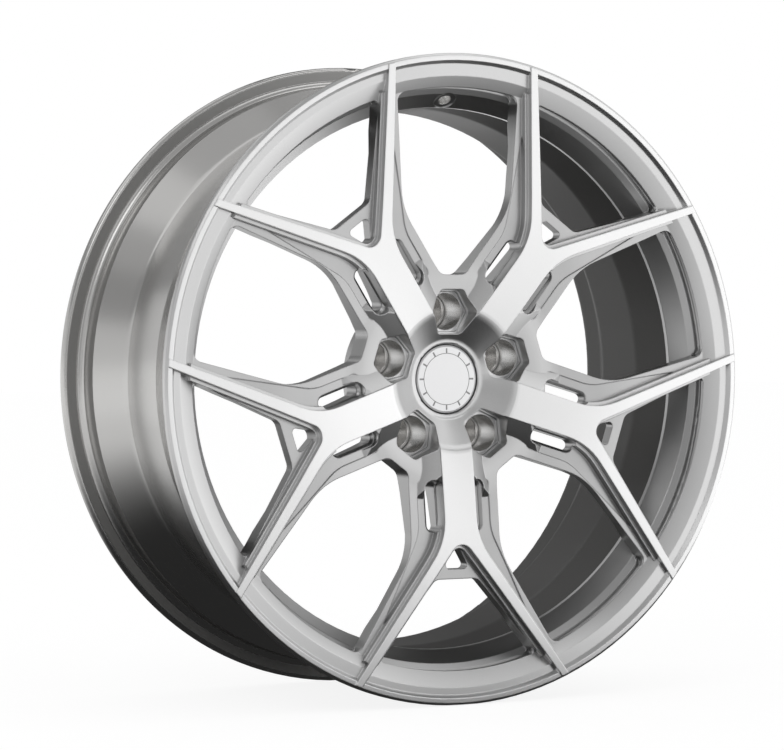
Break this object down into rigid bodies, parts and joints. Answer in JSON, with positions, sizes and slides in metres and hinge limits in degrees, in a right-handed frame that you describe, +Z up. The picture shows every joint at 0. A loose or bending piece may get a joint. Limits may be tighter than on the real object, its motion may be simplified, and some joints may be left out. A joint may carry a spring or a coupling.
{
  "type": "forged racing wheel rim",
  "caption": "Forged racing wheel with five forked spokes, deep stepped lip, drop-centre barrel, conical bolt seats and a snap-in centre cap.",
  "frame": {"origin": "on the wheel axis, half way between the two rim edges, which is the centre of the bounding box", "axes": "+Y along the wheel axis, inboard; -Y is the street side; +Z up, with the valve hole at the top; +X to the right seen from the street side"},
  "size_m": [0.5478, 0.2244, 0.5478],
  "materials": {
    "face_silver": "satin bright silver on machined forging",
    "barrel_grey": "dark grey satin lacquer",
    "seat_steel": "bare turned steel",
    "ring_alloy": "plain turned",
    "cap_plastic": "silver moulded plastic",
    "cap_metal": "satin silver",
    "spring_steel": "drawn wire",
    "seal_rubber": "matt black"
  },
  "bodies": {
    "wheel": {"forged_face": "face_silver", "rim_barrel": "barrel_grey", "bolt_seat_1": "seat_steel", "bolt_seat_2": "seat_steel", "bolt_seat_3": "seat_steel", "bolt_seat_4": "seat_steel", "bolt_seat_5": "seat_steel"},
    "centring_ring": {"hub_centring_ring": "ring_alloy"},
    "cap_clip": {"cap_spring_ring": "spring_steel"},
    "cap": {"cap_body": "cap_plastic", "cap_face_disc": "cap_metal", "cap_seal_ring": "seal_rubber"}
  },
  "joints": [
    {"name": "centring_ring_pull", "type": "slide", "parent": "wheel", "child": "centring_ring", "axis": [0, 1, 0], "range_m": [0, 0.02]},
    {"name": "cap_pull", "type": "slide", "parent": "wheel", "child": "cap_clip", "axis": [0, -1, 0], "range_m": [0, 0.03]},
    {"name": "cap_turn", "type": "hinge", "parent": "cap_clip", "child": "cap", "pos_m": [0, -0.079, 0], "axis": [0, -1, 0], "continuous": true}
  ]
}
